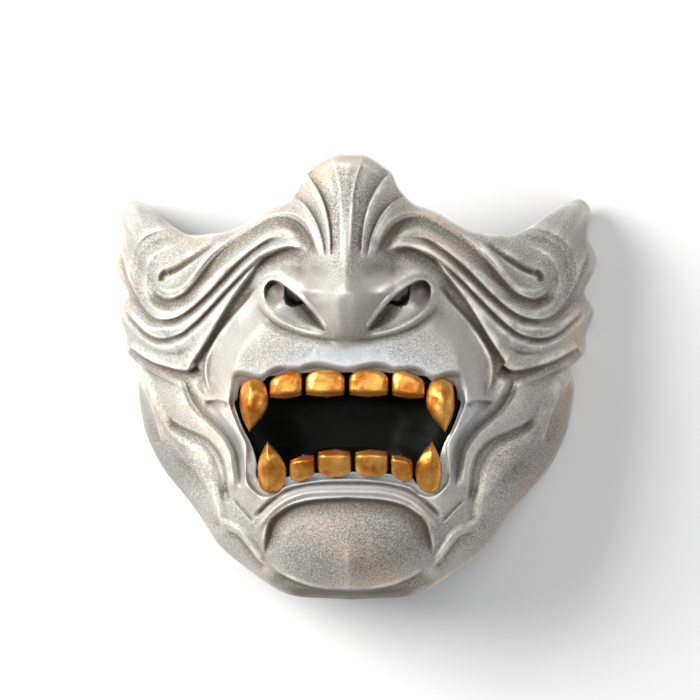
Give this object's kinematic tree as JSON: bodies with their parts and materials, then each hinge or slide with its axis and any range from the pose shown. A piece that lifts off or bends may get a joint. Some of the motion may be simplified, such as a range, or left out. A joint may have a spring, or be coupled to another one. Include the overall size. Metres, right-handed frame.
{
  "type": "half face mask",
  "caption": "Half face mask in the fierce samurai manner: hooked nose, swept cheek bands, open mouth with gold teeth over a dark lining, folded jaw and chin, cast as one shell.",
  "frame": {"origin": "middle of the footprint, at the height of the flat rim that the mask rests on", "axes": "+X across the face, towards the right of the picture; +Y from chin to nose bridge; +Z out of the face"},
  "size_m": [0.1944, 0.1758, 0.1102],
  "materials": {
    "silver_pearl": "cast resin painted pale silver grey, satin with a peach sheen on the folds, speckled matt on bridge, jaw and chin",
    "gold_paint": "teeth painted gold, semi gloss",
    "black_gloss": "near black, glossy"
  },
  "bodies": {
    "root": {"mask": "silver_pearl", "mouth_lining": "black_gloss", "upper_inner_right": "gold_paint", "upper_inner_left": "gold_paint", "upper_outer_right": "gold_paint", "upper_outer_left": "gold_paint", "upper_fang_right": "gold_paint", "upper_fang_left": "gold_paint", "lower_inner_right": "gold_paint", "lower_inner_left": "gold_paint", "lower_outer_right": "gold_paint", "lower_outer_left": "gold_paint", "lower_fang_right": "gold_paint", "lower_fang_left": "gold_paint"}
  },
  "joints": []
}
